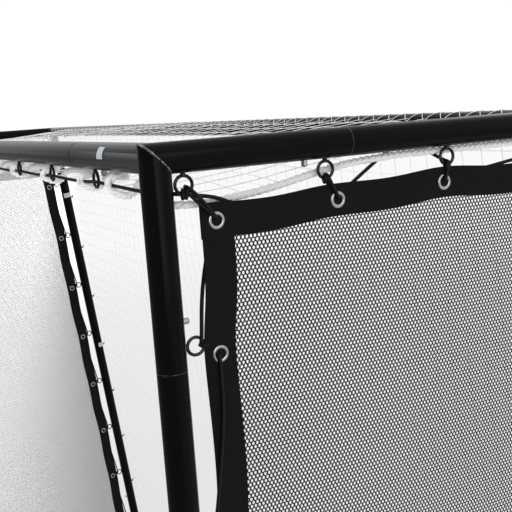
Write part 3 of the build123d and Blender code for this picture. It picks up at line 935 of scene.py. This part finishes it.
class REBOUNDER_OT_hooks(bpy.types.Operator):
    """Moulded hooks that hold the back of the net"""
    bl_idname = "rebounder.hooks"
    bl_label = "Net hooks"

    def execute(self, context):
        bm = packed_mesh("net_hooks")
        keen = [e for e in bm.edges if len(e.link_faces) == 2 and e.calc_face_angle(0) > 0.3]
        bmesh.ops.bevel(bm, geom=keen, offset=0.5 * MM, segments=2, profile=0.5, affect="EDGES",
                        material=-1)
        finish_piece("moulded_net_hooks", bm, "hook", stands_for=("net_hooks",))
        return {"FINISHED"}


class REBOUNDER_OT_stage(bpy.types.Operator):
    """Camera, lamps, floor and backdrop"""
    bl_idname = "rebounder.stage"
    bl_label = "Stage"

    def execute(self, context):
        scene = bpy.context.scene
        scene.view_settings.view_transform = "Standard"
        self.camera(scene)
        self.floor()
        self.world(scene)
        self.lamp("key", (1.2, -4.2, 5.2), (0.6, 0, 1.6), 3.0, 95)
        self.lamp("fill", (5.2, -0.6, 2.6), (1.2, 0, 1.7), 2.4, 32)
        self.lamp("rear", (-1.0, 4.5, 4.4), (0.3, 0, 1.6), 3.0, 60)
        return {"FINISHED"}

    def camera(self, scene):
        data = bpy.data.cameras.new("camera")
        data.sensor_width = 36.0
        data.lens = 61.9
        data.clip_start = 0.02
        data.clip_end = 100
        holder = bpy.data.objects.new("camera", data)
        bpy.context.collection.objects.link(holder)
        right = Vector((0.46048, 0.88512, -0.06729)).normalized()
        forward = Vector((-0.87977, 0.44497, -0.16735)).normalized()
        up = right.cross(forward).normalized()
        right = forward.cross(up)
        turn = Matrix((right, up, -forward)).transposed().to_4x4()
        corner = Vector((AXIS_X, MOUTH_Y, TOP_Z))
        holder.matrix_world = Matrix.Translation(corner + Vector((0.956, -0.361, 0.052))) @ turn
        scene.camera = holder

    def floor(self):
        bm = bmesh.new()
        bmesh.ops.create_grid(bm, x_segments=8, y_segments=8, size=30)
        mesh = bpy.data.meshes.new("floor")
        bm.to_mesh(mesh)
        bm.free()
        mesh.materials.append(self.paper())
        made = bpy.data.objects.new("floor", mesh)
        bpy.context.collection.objects.link(made)

    def paper(self):
        """Matt white paper that glows for the camera and in reflections, with painted shade near the goal
        and painted light in front of the mouth; it keeps the goal's soft shadow.
        """
        made = surface("paper_floor_with_painted_light", paint().floor, 0.9, spread=0.01, scale=3)
        tree = made.node_tree
        shader = tree.nodes["Principled BSDF"]
        place = node(tree, "ShaderNodeTexCoord")
        # Painted shade: the glow is dimmer near the goal and full only far away
        away = node(tree, "ShaderNodeVectorMath", {0: place.outputs["Object"]}, operation="DISTANCE")
        away.inputs[1].default_value = (2.4, -0.8, 0.0)
        painted_shade_near_goal = node(tree, "ShaderNodeMapRange", {"Value": away.outputs["Value"]}, in_From_Min=5.0,
                    in_From_Max=14.0, in_To_Min=0.78, in_To_Max=1.0)
        # Painted light: seen by the camera, the floor glows up to 2.4 times brighter in front of the goal's
        # mouth
        across = node(tree, "ShaderNodeVectorMath", {0: place.outputs["Object"]}, operation="DOT_PRODUCT")
        across.inputs[1].default_value = (0.275, 1.0, 0.0)
        lit = node(tree, "ShaderNodeMapRange", {"Value": across.outputs["Value"]},
                   interpolation_type="SMOOTHSTEP", in_From_Min=-0.88, in_From_Max=0.05, in_To_Min=2.4,
                   in_To_Max=1.0)
        # Painted shade in reflections: glossy and transmission rays see the floor's glow dimmer in front of
        # the mouth
        parts = node(tree, "ShaderNodeSeparateXYZ", {"Vector": place.outputs["Object"]})
        side = node(tree, "ShaderNodeMapRange", {"Value": parts.outputs["Y"]}, in_From_Min=-1.2,
                    in_From_Max=0.8, in_To_Min=0.2, in_To_Max=1.0)
        rays = node(tree, "ShaderNodeLightPath")
        gain = node(tree, "ShaderNodeMath", {0: lit.outputs["Result"], 1: side.outputs["Result"]},
                    operation="SUBTRACT")
        level = node(tree, "ShaderNodeMath", {0: gain.outputs["Value"], 1: rays.outputs["Is Camera Ray"],
                                              2: side.outputs["Result"]}, operation="MULTIPLY_ADD")
        fall = node(tree, "ShaderNodeMath", {0: painted_shade_near_goal.outputs["Result"], 1: level.outputs["Value"]},
                    operation="MULTIPLY")
        glow = node(tree, "ShaderNodeEmission", {"Strength": fall.outputs["Value"]})
        share = node(tree, "ShaderNodeMath", {0: self.seen(tree, rays)}, operation="MULTIPLY")
        share.inputs[1].default_value = 0.82
        mix = node(tree, "ShaderNodeMixShader", {0: share.outputs["Value"]})
        tree.links.new(shader.outputs["BSDF"], mix.inputs[1])
        tree.links.new(glow.outputs["Emission"], mix.inputs[2])
        tree.links.new(mix.outputs["Shader"], tree.nodes["Material Output"].inputs["Surface"])
        return made

    def seen(self, tree, rays):
        """1 for camera, glossy and transmission rays, and 0 for light that only bounces."""
        first = node(tree, "ShaderNodeMath", {0: rays.outputs["Is Camera Ray"],
                                              1: rays.outputs["Is Glossy Ray"]}, operation="MAXIMUM")
        return node(tree, "ShaderNodeMath", {0: first.outputs["Value"],
                                             1: rays.outputs["Is Transmission Ray"]},
                    operation="MAXIMUM").outputs["Value"]

    def world(self, scene):
        world = bpy.data.worlds.new("studio")
        world.use_nodes = True
        tree = world.node_tree
        soft = tree.nodes["Background"]
        soft.inputs["Color"].default_value = (1, 1, 1, 1)
        soft.inputs["Strength"].default_value = 0.85
        bright = node(tree, "ShaderNodeBackground", in_Strength=1.0)
        bright.inputs["Color"].default_value = (1, 1, 1, 1)
        rays = node(tree, "ShaderNodeLightPath")
        way = node(tree, "ShaderNodeTexCoord")
        parts = node(tree, "ShaderNodeSeparateXYZ", {"Vector": way.outputs["Generated"]})
        dark = node(tree, "ShaderNodeMapRange", {"Value": parts.outputs["Y"]}, in_From_Min=-0.05,
                    in_From_Max=-0.35, in_To_Min=0.0, in_To_Max=0.75)
        off = node(tree, "ShaderNodeMath", {0: rays.outputs["Is Glossy Ray"], 1: dark.outputs["Result"]},
                   operation="MULTIPLY")
        left = node(tree, "ShaderNodeMath", {1: off.outputs["Value"]}, operation="SUBTRACT")
        left.inputs[0].default_value = 1.0
        tree.links.new(left.outputs["Value"], bright.inputs["Strength"])
        mix = node(tree, "ShaderNodeMixShader", {0: self.seen(tree, rays)})
        tree.links.new(soft.outputs["Background"], mix.inputs[1])
        tree.links.new(bright.outputs["Background"], mix.inputs[2])
        tree.links.new(mix.outputs["Shader"], tree.nodes["World Output"].inputs["Surface"])
        scene.world = world

    def lamp(self, name, place, target, size, power):
        data = bpy.data.lights.new(name, "AREA")
        data.size = size
        data.energy = power
        holder = bpy.data.objects.new(name, data)
        bpy.context.collection.objects.link(holder)
        holder.visible_camera = False
        aim = (Vector(target) - Vector(place)).to_track_quat("-Z", "Y")
        holder.matrix_world = Matrix.Translation(place) @ aim.to_matrix().to_4x4()


STEPS = [REBOUNDER_OT_stage, REBOUNDER_OT_tubes, REBOUNDER_OT_welds, REBOUNDER_OT_rolled_ends,
         REBOUNDER_OT_labels, REBOUNDER_OT_buttons, REBOUNDER_OT_eyes, REBOUNDER_OT_webbing,
         REBOUNDER_OT_mesh, REBOUNDER_OT_grommets, REBOUNDER_OT_lacing, REBOUNDER_OT_net,
         REBOUNDER_OT_rope, REBOUNDER_OT_hooks]


class REBOUNDER_PT_sidebar(bpy.types.Panel):
    """Lists the pieces in the sidebar"""
    bl_idname = "REBOUNDER_PT_sidebar"
    bl_label = "Rebounder"
    bl_space_type = "VIEW_3D"
    bl_region_type = "UI"
    bl_category = "Rebounder"

    def draw(self, context):
        for step in STEPS:
            self.layout.operator(step.bl_idname)


GROUPS = [RebounderPanelSizes, RebounderNetSizes, RebounderColours]


def register():
    for item in GROUPS + STEPS + [REBOUNDER_PT_sidebar]:
        bpy.utils.register_class(item)
    bpy.types.Scene.rebounder_panel = PointerProperty(type=RebounderPanelSizes)
    bpy.types.Scene.rebounder_net = PointerProperty(type=RebounderNetSizes)
    bpy.types.Scene.rebounder_paint = PointerProperty(type=RebounderColours)


def unregister():
    del bpy.types.Scene.rebounder_paint
    del bpy.types.Scene.rebounder_net
    del bpy.types.Scene.rebounder_panel
    for item in reversed(GROUPS + STEPS + [REBOUNDER_PT_sidebar]):
        bpy.utils.unregister_class(item)


def main():
    register()
    for step in STEPS:
        group, name = step.bl_idname.split(".")
        getattr(getattr(bpy.ops, group), name)()


if __name__ == "__main__":
    main()
